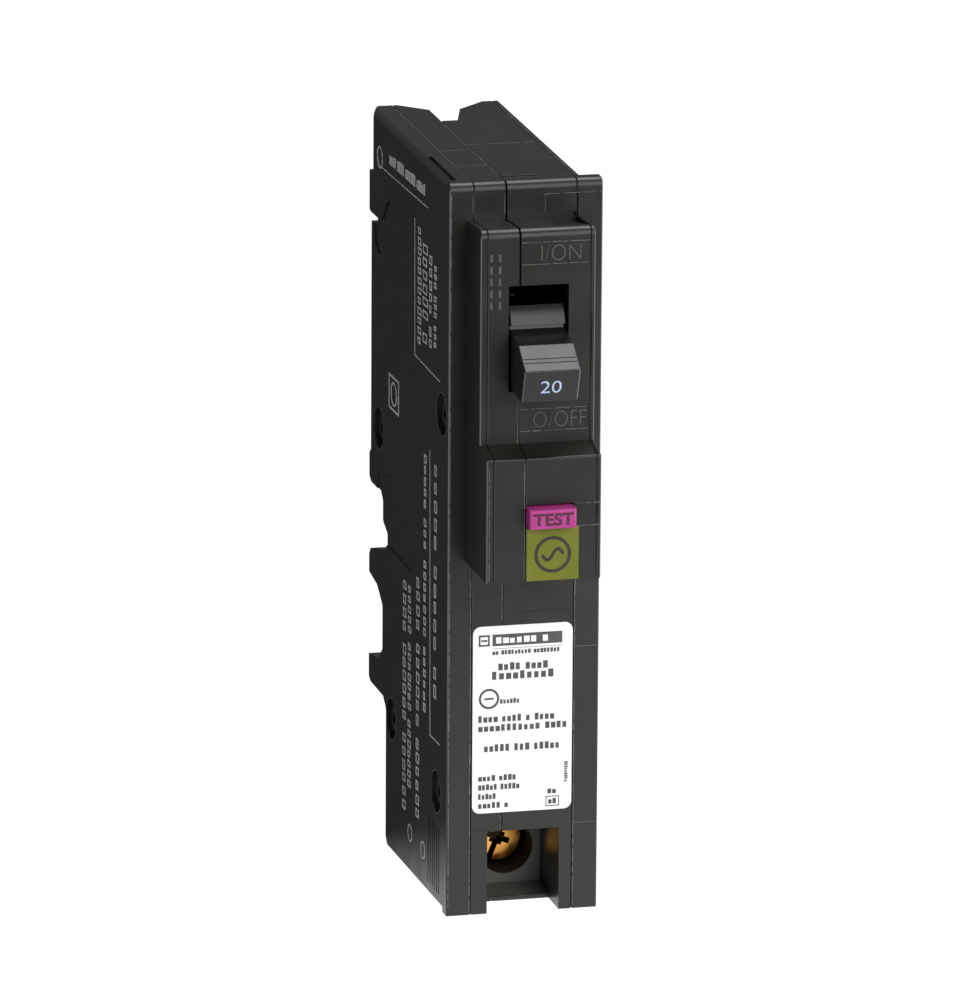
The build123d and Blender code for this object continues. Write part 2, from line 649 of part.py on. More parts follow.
def make_trip_rocker():
    """Bell crank that turns the plunger's lift into a push on the armature."""
    points = [(7.4, 50.1), (14.0, 50.1), (20.0, 49.8), (35.5, 58.6), (37.4, 59.6),
              (37.4, 63.6), (36.4, 63.6), (35.8, 60.8), (20.0, 54.2), (7.4, 51.3)]
    rocker = prism(points, (3.2, 4.2))
    return rocker - rod_x(ROCKER, THIN_PIN_R + RUNNING_GAP, (0, 8))


def make_rocker_pin():
    """Pin of the trip rocker, with a head on its left and its foot on the right wall."""
    return rod_x(ROCKER, THIN_PIN_R, (2.9, HALF - WALL)) + rod_x(ROCKER, 1.3, (2.5, 3.1))


def make_rocker_spring():
    """Spring sleeve round the rocker's pin, which lets the plunger down again."""
    sleeve = coil_sleeve(THIN_PIN_R + 0.15, 1.5, 2.4, 5)
    return Pos(4.6, ROCKER[0], ROCKER[1]) * Rot(0, 90, 0) * sleeve


# ---- circuit board ------------------------------------------------------------------
def make_circuit_board():
    board = box((-10.2, -8.75), (8.0, 46.0), (60.5, 115.0))
    board = board - box((-11, -8), (8.0, 17.0), (60.0, 70.0))
    return board


def make_board_parts():
    """Chips and other low parts on the circuit board."""
    places = [(22, 70, 8, 8), (34, 72, 6, 5), (20, 84, 5, 10), (31, 86, 7, 7), (41, 84, 3, 6),
              (14, 98, 6, 4), (26, 100, 9, 5), (38, 102, 4, 8), (16, 108, 5, 5)]
    chips = []
    for y, z, wide, high in places:
        chips.append(box((-8.75, -7.6), (y, y + wide), (z, z + high)))
    return together(chips)


def make_capacitors():
    """Two round capacitors that stand on the solid foot."""
    z = (FOOT_TOP, FOOT_TOP + 13)
    cans = [rod_z((-7.9, 14.6), 3.0, z), rod_z((-7.9, 21.4), 3.0, z)]
    return together(cans)


# ---- terminals ----------------------------------------------------------------------
def box_lug(x, half_x, y, front, back, side, screw_r):
    """Square tunnel for a wire; the screw comes through its front wall."""
    z = (FLOOR, 2 * LUG_Z - FLOOR)
    lug = box((x - half_x, x + half_x), y, z)
    lug = lug - box((x - half_x + side, x + half_x - side), (y[0] + front, y[1] - back), (0, 20))
    return lug - rod_y((x, LUG_Z), screw_r + RUNNING_GAP, (y[0] - 1, y[0] + front + 0.1))


def terminal_screw(x, head_r, head_y, head_long, shank_r, tip_y):
    """Combination-drive screw: round head with a slot and a cross, plain shank."""
    head = rod_y((x, LUG_Z), head_r, (head_y, head_y + head_long))
    rim = [e for e in head.edges() if abs(e.center().Y - head_y) < 0.01]
    head = fillet(rim, 0.35)
    slot = box((x - head_r, x + head_r), (head_y - 1, head_y + 1.5), (LUG_Z - 0.5, LUG_Z + 0.5))
    across = box((x - 0.5, x + 0.5), (head_y - 1, head_y + 1.5), (LUG_Z - 2.2, LUG_Z + 2.2))
    square = box((x - 1.1, x + 1.1), (head_y - 1, head_y + 1.8), (LUG_Z - 1.1, LUG_Z + 1.1))
    drive = Pos(x, 0, LUG_Z) * Rot(0, -68, 0) * Pos(-x, 0, -LUG_Z) * (slot + across + square)
    return head - drive + rod_y((x, LUG_Z), shank_r, (head_y + head_long - 0.1, tip_y))


def make_load_lug():
    return box_lug(LUG_X, 4.1, (22.6, 32.0), 1.8, 1.2, 1.2, 1.9)


def make_load_screw():
    return terminal_screw(LUG_X, HEAD_R, HEAD_Y, 2.6, 1.9, 25.2)


def make_load_pressure_plate():
    return box((LUG_X - 2.8, LUG_X + 2.8), (25.2, 26.0), (3.6, 11.4))


def make_neutral_lug():
    return box_lug(NEUTRAL_X, 2.7, (24.4, 32.4), 1.4, 1.0, 0.9, 1.3)


def make_neutral_screw():
    return terminal_screw(NEUTRAL_X, NEUTRAL_HEAD_R, NEUTRAL_HEAD_Y, 2.0, 1.3, 26.6)


def make_neutral_pressure_plate():
    return box((NEUTRAL_X - 1.7, NEUTRAL_X + 1.7), (26.6, 27.2), (3.8, 11.2))


def make_neutral_clip():
    """Sprung clip that grips the panel's neutral rail."""
    lower = [(42.8, 34.0), (51.0, 34.0), (53.4, 34.8), (53.4, 35.5), (51.4, 35.0),
             (49.6, 35.7), (47.6, 34.8), (43.6, 34.8), (43.6, 36.7), (42.8, 36.7)]
    upper = [(y, 2 * 36.7 - z) for y, z in lower]
    return prism(lower, (-2.3, 3.5)) + prism(upper, (-2.3, 3.5))


def make_neutral_lead():
    """Insulated wire from the neutral lug, through the sensor ring, to the neutral clip."""
    points = [(-8.3, 31.6, 12.0), (-8.3, 31.6, 27.0), (-1.7, 32.6, 38.0), (-1.7, 32.6, 53.4),
              (-1.7, 40.6, 53.4), (-1.7, 40.6, 36.7), (-1.7, 42.8, 36.7)]
    return swept_lead(points, 0.8, [6.0, 6.0, 3.8, 3.8, 1.6])


PIECES = {
    "left_cover": make_left_cover,
    "electronics_housing": make_electronics_housing,
    "mechanism_housing": make_mechanism_housing,
    "right_cover": make_right_cover,
    "case_rivets": make_rivets,
    "handle": make_handle,
    "handle_pin": lambda: pin_between_plates(PIVOT, PIN_R),
    "test_button": make_test_button,
    "test_button_spring": make_test_spring,
    "test_contact": make_test_contact,
    "status_badge": make_status_badge,
    "rating_label": make_rating_label,
    "line_jaw": make_line_jaw,
    "jaw_spring": make_jaw_spring,
    "line_strap": make_line_strap,
    "fixed_contact": make_fixed_contact,
    "contact_arm": make_contact_arm,
    "moving_contact": make_moving_contact,
    "arm_pin": lambda: pin_between_plates(ARM, PIN_R),
    "cradle": make_cradle,
    "cradle_pin": lambda: pin_between_plates(CRADLE, PIN_R),
    "toggle_spring": make_toggle_spring,
    "arc_plates": make_arc_plates,
    "arc_chute_sides": make_arc_chute_sides,
    "bimetal": make_bimetal,
    "magnet_yoke": make_magnet_yoke,
    "armature": make_armature,
    "armature_pin": lambda: pin_between_plates(ARMATURE, THIN_PIN_R),
    "armature_spring": make_armature_spring,
    "calibration_screw": make_calibration_screw,
    "braid": make_braid,
    "load_strap": make_load_strap,
    "fault_sensor": make_fault_sensor,
    "trip_coil": make_trip_coil,
    "coil_bracket": make_coil_bracket,
    "trip_plunger": make_trip_plunger,
    "trip_rocker": make_trip_rocker,
    "rocker_pin": make_rocker_pin,
    "rocker_spring": make_rocker_spring,
    "circuit_board": make_circuit_board,
    "board_parts": make_board_parts,
    "capacitors": make_capacitors,
    "load_lug": make_load_lug,
    "load_screw": make_load_screw,
    "load_pressure_plate": make_load_pressure_plate,
    "neutral_lug": make_neutral_lug,
    "neutral_screw": make_neutral_screw,
    "neutral_pressure_plate": make_neutral_pressure_plate,
    "neutral_clip": make_neutral_clip,
    "neutral_lead": make_neutral_lead,
}

os.makedirs("parts", exist_ok=True)
for piece_name, make in PIECES.items():
    write(piece_name, make())
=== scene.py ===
"""Looks of a one-pole plug-on circuit breaker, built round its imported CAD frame.

Lengths in the helpers below are millimetres. A place is (x, depth, z): x to the right of
someone who faces the front, depth counted backwards from the main front face, z up from
the foot.
"""
import math
import random

import bpy
from mathutils import Matrix, Vector


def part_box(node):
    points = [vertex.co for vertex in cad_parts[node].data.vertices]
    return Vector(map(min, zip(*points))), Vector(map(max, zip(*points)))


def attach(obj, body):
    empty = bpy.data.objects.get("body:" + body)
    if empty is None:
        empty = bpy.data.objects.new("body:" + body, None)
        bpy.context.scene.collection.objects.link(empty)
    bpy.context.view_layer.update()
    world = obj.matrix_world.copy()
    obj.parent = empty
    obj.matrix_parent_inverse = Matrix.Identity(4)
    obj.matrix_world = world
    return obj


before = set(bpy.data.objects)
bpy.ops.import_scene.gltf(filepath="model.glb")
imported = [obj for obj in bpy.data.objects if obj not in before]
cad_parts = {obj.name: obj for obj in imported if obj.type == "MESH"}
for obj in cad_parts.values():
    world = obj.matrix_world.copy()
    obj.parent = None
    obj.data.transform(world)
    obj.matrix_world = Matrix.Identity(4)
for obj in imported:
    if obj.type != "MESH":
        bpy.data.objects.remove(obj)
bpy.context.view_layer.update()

MM = 0.001
FRONT_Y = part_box("rating_label")[1][1]      # the main front face, in metres
HANDLE_BLOCK = 9.5                          # how far each face stands in front of that
TEST_BLOCK = 14.4
BUTTON_FACE = 17.0
BADGE_FACE = 14.65
LABEL_FACE = 0.12
WORD_BAND = 0.1                             # depth of the bands that I/ON and O/OFF lie in
SIDE_X = -12.7                              # the left side
FRONT_TOP = 122.6                           # height of the front's top edge
CASE_DEPTH = 57.4
TOP_RISE = 1.0                              # the top's back edge is this much higher
PIVOT = (-1.3, 98.9)                        # the handle's pivot: depth and z
HANDLE_OFF = 20.0                           # degrees below level
HANDLE_TIP = 17.72                          # from the pivot to the face with the number
SEAMS = (-8.84, -3.60, 8.60)                # x of the seams between the case's four slices
RIVETS = ((4.75, 83.5), (49.2, 70.4), (7.4, 19.2), (39.6, 22.6))    # depth and z

RIGHT = Vector((1, 0, 0))
UP = Vector((0, 0, 1))
FRONT = Vector((0, -1, 0))


def at(x, depth, z):
    """A place in metres in the part's frame."""
    return Vector((x * MM, FRONT_Y + depth * MM, z * MM))


# ---- materials ----------------------------------------------------------------------
NOISE_LOW, NOISE_HIGH = 0.3, 0.7            # most values of a noise lie between these
METAL_PATCH = 3.0                           # width of the patches of tone on a metal

# Each pair below says where a look starts to fade and where the fade ends.
RECESS_LEFT = (-5.84, -5.80)                # the screwdriver recess: x
RECESS_RIGHT = (6.18, 6.22)
RECESS_TOP = (13.6, 13.9)                   # z
RECESS_FRONT = (6.7, 6.9)                   # depth
RECESS_BACK = (12.7, 12.9)
RECESS_ROUGHNESS = 0.7
# paler colour in the recess: dust and painted light standing in for the light falling there
RECESS_DUST_AND_LIGHT = (0.075, 0.075, 0.068, 1)
DRIVE_FADE = (18.25, 18.6)                  # depth where painted shade darkens the load screw's drive
# colour of the painted shade inside a screw's drive
DRIVE_SHADE = (0.02, 0.012, 0.006, 1)


def new_material(name):
    """A material with its nodes, its shader and the object's own coordinates."""
    material = bpy.data.materials.new(name)
    material.use_nodes = True
    tree = material.node_tree
    shader = tree.nodes["Principled BSDF"]
    coords = tree.nodes.new("ShaderNodeTexCoord")
    return material, tree, shader, coords.outputs["Object"]


def noise(tree, coords, size_mm, detail, stretch=(1, 1, 1)):
    """A noise value whose features are about size_mm across."""
    mapping = tree.nodes.new("ShaderNodeMapping")
    mapping.inputs["Scale"].default_value = stretch
    tree.links.new(coords, mapping.inputs["Vector"])
    texture = tree.nodes.new("ShaderNodeTexNoise")
    texture.inputs["Scale"].default_value = 1.0 / (size_mm * MM)
    texture.inputs["Detail"].default_value = detail
    tree.links.new(mapping.outputs["Vector"], texture.inputs["Vector"])
    return texture.outputs["Fac"]


def spread(tree, value, low, high, start=NOISE_LOW, end=NOISE_HIGH):
    """Map a value between start and end onto low and high."""
    node = tree.nodes.new("ShaderNodeMapRange")
    node.inputs["From Min"].default_value = start
    node.inputs["From Max"].default_value = end
    node.inputs["To Min"].default_value = low
    node.inputs["To Max"].default_value = high
    tree.links.new(value, node.inputs["Value"])
    return node.outputs["Result"]


def blend_colours(tree, value, dark, light):
    """Run from a dark colour to a light one as a noise rises."""
    ramp = tree.nodes.new("ShaderNodeValToRGB")
    ramp.color_ramp.elements[0].position = NOISE_LOW
    ramp.color_ramp.elements[0].color = (*dark, 1)
    ramp.color_ramp.elements[1].position = NOISE_HIGH
    ramp.color_ramp.elements[1].color = (*light, 1)
    tree.links.new(value, ramp.inputs["Fac"])
    return ramp.outputs["Color"]


def combine(tree, operation, first, second):
    """Two values added or multiplied, as the operation says."""
    node = tree.nodes.new("ShaderNodeMath")
    node.operation = operation
    tree.links.new(first, node.inputs[0])
    tree.links.new(second, node.inputs[1])
    return node.outputs["Value"]


def add_bump(tree, shader, value, height_mm):
    """Let a value raise and lower the surface in the shading."""
    bump = tree.nodes.new("ShaderNodeBump")
    bump.inputs["Strength"].default_value = 1.0
    bump.inputs["Distance"].default_value = height_mm * MM
    tree.links.new(value, bump.inputs["Height"])
    tree.links.new(bump.outputs["Normal"], shader.inputs["Normal"])


def split_axes(tree):
    """The object's own x, y and z, in metres, as three values."""
    coords = tree.nodes.new("ShaderNodeTexCoord")
    split = tree.nodes.new("ShaderNodeSeparateXYZ")
    tree.links.new(coords.outputs["Object"], split.inputs["Vector"])
    return split.outputs


def rises(tree, axis, span, origin=0.0):
    """0 before a span of an axis and 1 beyond it; the origin is in metres."""
    start, end = (origin + place * MM for place in span)
    return spread(tree, axis, 0.0, 1.0, start, end)


def falls(tree, axis, span, origin=0.0):
    """1 before a span of an axis and 0 beyond it; the origin is in metres."""
    start, end = (origin + place * MM for place in span)
    return spread(tree, axis, 1.0, 0.0, start, end)


def fade_to(tree, socket, share, value):
    """Fade what feeds a shader's socket towards one value, by a share from 0 to 1."""
    before = socket.links[0].from_socket
    mix = tree.nodes.new("ShaderNodeMix")
    if socket.type == "RGBA":
        mix.data_type = "RGBA"
    mix.inputs["B"].default_value = value
    tree.links.new(share, mix.inputs["Factor"])
    tree.links.new(before, mix.inputs["A"])
    tree.links.new(mix.outputs["Result"], socket)


def plastic(name, dark, light, rough, grain_mm=0.35, grain_height=0.012, specular=0.5,
            patch_mm=9.0):
    """Moulded plastic: uneven tone in patches, a fine mould grain, uneven gloss."""
    material, tree, shader, coords = new_material(name)
    patches = noise(tree, coords, patch_mm, 5.0)
    tree.links.new(blend_colours(tree, patches, dark, light), shader.inputs["Base Color"])
    gloss = noise(tree, coords, patch_mm / 3, 6.0)
    tree.links.new(spread(tree, gloss, *rough), shader.inputs["Roughness"])
    grain = noise(tree, coords, grain_mm, 3.0)
    add_bump(tree, shader, grain, grain_height)
    shader.inputs["Specular IOR Level"].default_value = specular
    return material


def metal(name, dark, light, rough, stretch=(1, 1, 1), streak_mm=0.4, height=0.006):
    """Plated or bare metal, with streaks along the axis whose stretch is small."""
    material, tree, shader, coords = new_material(name)
    patches = noise(tree, coords, METAL_PATCH, 5.0)
    tree.links.new(blend_colours(tree, patches, dark, light), shader.inputs["Base Color"])
    streaks = noise(tree, coords, streak_mm, 5.0, stretch)
    tree.links.new(spread(tree, streaks, *rough), shader.inputs["Roughness"])
    add_bump(tree, shader, streaks, height)
    shader.inputs["Metallic"].default_value = 1.0
    return material


def paint_drive_shade(material):
    """Fade a metal to dark beyond a depth: painted shade in a screw's drive."""
    tree = material.node_tree
    shader = tree.nodes["Principled BSDF"]
    beyond = rises(tree, split_axes(tree)["Y"], DRIVE_FADE, FRONT_Y)
    fade_to(tree, shader.inputs["Base Color"], beyond, DRIVE_SHADE)


def matt_recess_dust_and_light(material):
    """Matt plastic in the screwdriver recess and behind it, painted paler as far as its back
    wall: dust and painted light.
    """
    tree = material.node_tree
    shader = tree.nodes["Principled BSDF"]
    axes = split_axes(tree)
    low_and_behind = combine(tree, "MULTIPLY", falls(tree, axes["Z"], RECESS_TOP),
                             rises(tree, axes["Y"], RECESS_FRONT, FRONT_Y))
    across = combine(tree, "MULTIPLY", rises(tree, axes["X"], RECESS_LEFT),
                     falls(tree, axes["X"], RECESS_RIGHT))
    matt = combine(tree, "MULTIPLY", low_and_behind, across)
    # where the recess is painted paler, for dust and painted light
    dust_and_light_share = combine(tree, "MULTIPLY", matt, falls(tree, axes["Y"], RECESS_BACK, FRONT_Y))
    fade_to(tree, shader.inputs["Roughness"], matt, RECESS_ROUGHNESS)
    fade_to(tree, shader.inputs["Base Color"], dust_and_light_share, RECESS_DUST_AND_LIGHT)


case = plastic("case_black", (0.010, 0.010, 0.0078), (0.0125, 0.0125, 0.0098), (0.28, 0.36),
               grain_mm=0.28, grain_height=0.004, specular=0.5, patch_mm=14.0)
case_smooth = plastic("case_mark", (0.060, 0.060, 0.054), (0.085, 0.085, 0.078), (0.34, 0.46),
                      grain_mm=0.3, grain_height=0.004)
# the side cover's moulded marks are the case's own black; their pale grey is a painted
# highlight
side_mark_highlight = plastic("side_mark_highlight", (0.60, 0.60, 0.57), (0.80, 0.80, 0.77), (0.4, 0.55),
                    grain_mm=0.3, grain_height=0.004)
# pale grey for the lines along seams, steps and rims: dust and painted edge highlights
edge_dust_and_highlight = plastic("edge_dust_and_highlight", (0.07, 0.07, 0.066), (0.20, 0.20, 0.19), (0.6, 0.8),
                    grain_mm=0.3, grain_height=0.004, patch_mm=2.0)
handle_black = plastic("handle_black", (0.010, 0.010, 0.010), (0.016, 0.016, 0.016),
                       (0.20, 0.27), grain_mm=0.5, grain_height=0.0012, specular=0.44)
magenta = plastic("button_magenta", (0.37, 0.030, 0.195), (0.45, 0.045, 0.250), (0.40, 0.52),
                  grain_mm=0.3, grain_height=0.010, patch_mm=3.0, specular=0.35)
magenta_dark = plastic("button_letter", (0.050, 0.003, 0.022), (0.075, 0.005, 0.032),
                       (0.45, 0.6), grain_mm=0.3, grain_height=0.01, patch_mm=3.0)
olive = plastic("badge_olive", (0.125, 0.140, 0.009), (0.155, 0.172, 0.014), (0.35, 0.5),
                grain_mm=0.5, grain_height=0.005, patch_mm=4.0, specular=0.3)
olive_ink = plastic("badge_ink", (0.014, 0.014, 0.008), (0.022, 0.022, 0.014), (0.4, 0.5),
                    grain_mm=0.3, grain_height=0.004, patch_mm=3.0)
paper = plastic("label_paper", (0.80, 0.80, 0.79), (0.88, 0.88, 0.87), (0.42, 0.55),
                grain_mm=0.2, grain_height=0.004, patch_mm=12.0, specular=0.4)
label_ink = plastic("label_ink", (0.045, 0.042, 0.040), (0.075, 0.070, 0.068), (0.45, 0.6),
                    grain_mm=0.15, grain_height=0.003, patch_mm=0.8)
white_print = plastic("white_print", (0.36, 0.45, 0.66), (0.48, 0.58, 0.80), (0.45, 0.6),
                      grain_mm=0.2, grain_height=0.01, patch_mm=1.0)
fibre = plastic("fibre", (0.30, 0.22, 0.13), (0.42, 0.32, 0.20), (0.7, 0.85), patch_mm=2.0,
                grain_mm=0.15, grain_height=0.03)
nylon = plastic("nylon", (0.55, 0.52, 0.44), (0.68, 0.65, 0.57), (0.4, 0.55))
ferrite = plastic("ferrite", (0.03, 0.03, 0.035), (0.06, 0.06, 0.07), (0.35, 0.5))
solder_mask = plastic("solder_mask", (0.015, 0.10, 0.035), (0.03, 0.16, 0.06), (0.22, 0.35),
                      patch_mm=1.2)
package = plastic("package", (0.012, 0.012, 0.013), (0.03, 0.03, 0.032), (0.5, 0.65))
can_sleeve = plastic("can_sleeve", (0.02, 0.03, 0.10), (0.03, 0.05, 0.15), (0.25, 0.35))
pvc = plastic("pvc_white", (0.70, 0.70, 0.68), (0.80, 0.80, 0.78), (0.3, 0.42))

steel = metal("steel", (0.42, 0.42, 0.41), (0.60, 0.59, 0.57), (0.26, 0.42), (1, 1, 0.1))
# nearly black metal for the rivets: painted shade of the deep recesses they sit in
shaded_rivet = metal("shaded_rivet", (0.045, 0.045, 0.047), (0.09, 0.09, 0.09), (0.30, 0.45), (0.1, 1, 1))
spring = metal("spring_steel", (0.35, 0.35, 0.36), (0.55, 0.55, 0.55), (0.22, 0.35))
copper = metal("copper", (0.62, 0.27, 0.13), (0.80, 0.40, 0.22), (0.25, 0.42), (1, 1, 0.1))
tinned = metal("tinned", (0.52, 0.51, 0.46), (0.70, 0.69, 0.64), (0.28, 0.45), (1, 0.2, 1))
silver = metal("silver", (0.72, 0.71, 0.68), (0.88, 0.87, 0.84), (0.18, 0.30))
gold = metal("terminal_brass", (0.50, 0.17, 0.02), (0.98, 0.56, 0.14), (0.12, 0.24),
             (1, 1, 1), streak_mm=1.6, height=0.004)
braid_copper = metal("braid", (0.45, 0.18, 0.08), (0.75, 0.36, 0.18), (0.35, 0.55),
                     (1, 0.3, 1), streak_mm=0.25, height=0.10)
bimetal_strip = metal("bimetal", (0.42, 0.38, 0.32), (0.60, 0.55, 0.47), (0.3, 0.45),
                      (1, 1, 0.05))
winding = metal("winding", (0.40, 0.14, 0.05), (0.62, 0.26, 0.10), (0.3, 0.5),
                (0.08, 0.08, 1), streak_mm=0.3, height=0.12)

paint_drive_shade(gold)
matt_recess_dust_and_light(case)

LOOKS = {
    "left_cover": case, "electronics_housing": case, "mechanism_housing": case,
    "right_cover": case, "case_rivets": shaded_rivet, "handle": handle_black, "handle_pin": steel,
    "test_button": magenta, "test_button_spring": spring, "test_contact": copper,
    "status_badge": olive, "rating_label": paper, "line_jaw": tinned, "jaw_spring": spring,
    "line_strap": copper, "fixed_contact": silver, "contact_arm": copper,
    "moving_contact": silver, "arm_pin": steel, "cradle": steel, "cradle_pin": steel,
    "toggle_spring": spring, "arc_plates": steel, "arc_chute_sides": fibre,
    "bimetal": bimetal_strip, "magnet_yoke": steel, "armature": steel,
    "armature_pin": steel, "armature_spring": spring, "calibration_screw": steel,
    "braid": braid_copper, "load_strap": copper, "fault_sensor": ferrite,
    "trip_coil": winding, "coil_bracket": steel, "trip_plunger": steel,
    "trip_rocker": nylon, "rocker_pin": steel, "rocker_spring": spring,
    "circuit_board": solder_mask, "board_parts": package, "capacitors": can_sleeve,
    "load_lug": tinned, "load_screw": gold, "load_pressure_plate": steel,
    "neutral_lug": tinned, "neutral_screw": gold, "neutral_pressure_plate": steel,
    "neutral_clip": tinned, "neutral_lead": pvc,
}
for node, look in LOOKS.items():
    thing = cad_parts[node]
    for slot in thing.material_slots:
        slot.material = look


# ---- raised marks -------------------------------------------------------------------
SINK = 0.02                                 # how far a mark reaches into what it stands on
WORD_GAP = 0.7                              # gap between words, in letters
LETTER_HEIGHTS = (1.0, 1.0, 0.78, 0.78, 0.9)
LETTER_WIDTHS = (0.75, 1.0)


def add_piece(name, mesh, body, material):
    """Put a mesh in the scene as a piece that rides a body."""
    mesh.materials.append(material)
    piece = bpy.data.objects.new(name, mesh)
    bpy.context.collection.objects.link(piece)
    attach(piece, body)


class Marks:
    """Flat raised shapes on a plane, gathered into one piece; u is right and v is up."""

    def __init__(self, origin, right, up, rise, sink=SINK):
        out = right.cross(up)
        self.corner = origin
        self.axes = (right, up, out)
        self.rise = rise
        self.sink = sink
        self.points = []
        self.faces = []

    def place(self, u, v, w):
        """The point at u and v on the plane and w in front of it."""
        right, up, out = self.axes
        return self.corner + (right * u + up * v + out * w) * MM

    def shape(self, outline):
        """A simple outline, listed anticlockwise, as a closed low block."""
        start = len(self.points)
        count = len(outline)
        for w in (-self.sink, self.rise):
            self.points += [self.place(u, v, w) for u, v in outline]
        self.faces.append([start + i for i in reversed(range(count))])
        self.faces.append([start + count + i for i in range(count)])
        for i in range(count):
            j = (i + 1) % count
            self.faces.append([start + i, start + j, start + count + j, start + count + i])

    def bar(self, u0, v0, u1, v1):
        """A filled rectangle."""
        self.shape([(u0, v0), (u1, v0), (u1, v1), (u0, v1)])

    def line(self, start, end, width):
        """A straight stroke."""
        along = Vector(end) - Vector(start)
        side = Vector((-along.y, along.x)).normalized() * width / 2
        a, b = Vector(start), Vector(end)
        self.shape([tuple(a - side), tuple(b - side), tuple(b + side), tuple(a + side)])

    def path(self, points, width):
        """Straight strokes from point to point."""
        for start, end in zip(points, points[1:]):
            self.line(start, end, width)

    def frame(self, u0, v0, u1, v1, width):
        """An empty rectangle."""
        self.bar(u0, v0, u1, v0 + width)
        self.bar(u0, v1 - width, u1, v1)
        self.bar(u0, v0 + width, u0 + width, v1 - width)
        self.bar(u1 - width, v0 + width, u1, v1 - width)

    def ring(self, centre, outer, inner, parts=40):
        """A ring made of short blocks."""
        for i in range(parts):
            a, b = (2 * math.pi * (i + k) / parts for k in (0, 1))
            corners = [(inner, a), (outer, a), (outer, b), (inner, b)]
            self.shape([(centre[0] + r * math.cos(t), centre[1] + r * math.sin(t))
                        for r, t in corners])

    def words(self, rng, u0, u1, v0, height, counts, fill=0.85, line=0.0):
        """Blocks that stand for words: counts gives the letters of each word.

        A line width draws each block as an empty frame instead.
        """
        cells = sum(counts) + WORD_GAP * (len(counts) - 1)
        pitch = (u1 - u0) / cells
        u = u0
        for count in counts:
            for _ in range(count):
                tall = height * rng.choice(LETTER_HEIGHTS)
                wide = pitch * fill * rng.uniform(*LETTER_WIDTHS)
                if line:
                    self.frame(u, v0, u + wide, v0 + tall, line)
                else:
                    self.bar(u, v0, u + wide, v0 + tall)
                u += pitch
            u += pitch * WORD_GAP

    def make(self, name, body, material):
        """Turn the gathered shapes into one piece that rides a body."""
        mesh = bpy.data.meshes.new(name)
        mesh.from_pydata(self.points, [], self.faces)
        add_piece(name, mesh, body, material)


def lettering(name, text, origin, right, up, box, rise, body, material, thin):
    """A generic word or number as raised strokes, fitted to box (u0, v0, u1, v1)."""
    curve = bpy.data.curves.new(name, "FONT")
    curve.body = text
    curve.size = 1.0
    curve.offset = -thin
    curve.extrude = 0.5
    curve.resolution_u = 4
    holder = bpy.data.objects.new(name + "_curve", curve)
    bpy.context.collection.objects.link(holder)
    graph = bpy.context.evaluated_depsgraph_get()
    mesh = bpy.data.meshes.new_from_object(holder.evaluated_get(graph))
    bpy.data.objects.remove(holder)
    xs = [v.co.x for v in mesh.vertices]
    ys = [v.co.y for v in mesh.vertices]
    u0, v0, u1, v1 = box
    out = right.cross(up)
    for vertex in mesh.vertices:
        u = u0 + (vertex.co.x - min(xs)) / (max(xs) - min(xs)) * (u1 - u0)
        v = v0 + (vertex.co.y - min(ys)) / (max(ys) - min(ys)) * (v1 - v0)
        w = rise if vertex.co.z > 0 else -SINK
        vertex.co = origin + (right * u + up * v + out * w) * MM
    mesh.materials.clear()
    add_piece(name, mesh, body, material)


# ---- marks on the front -------------------------------------------------------------
def mark_front():
    """I/ON and O/OFF in their bands, a date code of blocks, and TEST on the button."""
    face = at(0, -HANDLE_BLOCK + WORD_BAND, 0)
    for name, text, box in (("on_mark", "I/ON", (0.1, 111.5, 6.7, 114.1)),
                            ("off_mark", "O/OFF", (-1.0, 84.1, 7.7, 86.7))):
        lettering(name, text, face, RIGHT, UP, box, 0.09, "case", case_smooth,
                  thin=0.022)
    code = Marks(at(0, -HANDLE_BLOCK, 0), -UP, RIGHT, 0.06)
    for row in range(5):
        top = -112.9 + row * 1.95
        for across in (-8.3, -6.9):
            code.bar(top, across, top + 1.2, across + 0.4)
    code.make("block_code", "case", case_smooth)
    lettering("test_letters", "TEST", at(0, -BUTTON_FACE, 0), RIGHT, UP,
              (-2.8, 69.65, 3.9, 71.75), 0.015, "test_button", magenta_dark,
              thin=-0.035)


# broken pale lines along edges and rims: dust and painted highlights
PALE_LINE_LENGTHS = (0.7, 3.5)
PALE_LINE_WIDTHS = (0.06, 0.12)
PALE_LINE_GAPS = (0.05, 0.6)
PALE_LINE_SHORTEST = 0.1                         # a shorter end piece is left out
PALE_LINE_RISE = 0.012


def pale_broken_line(marks, rng, start, end):
    """A broken, uneven pale line from start to end, for dust and painted highlight."""
    start, end = Vector(start), Vector(end)
    length = (end - start).length
    along = (end - start) / length
    place = 0.0
    while place < length:
        piece = min(rng.uniform(*PALE_LINE_LENGTHS), length - place)
        if piece > PALE_LINE_SHORTEST:
            first = start + along * place
            marks.line(first, first + along * piece, rng.uniform(*PALE_LINE_WIDTHS))
        place += piece + rng.uniform(*PALE_LINE_GAPS)


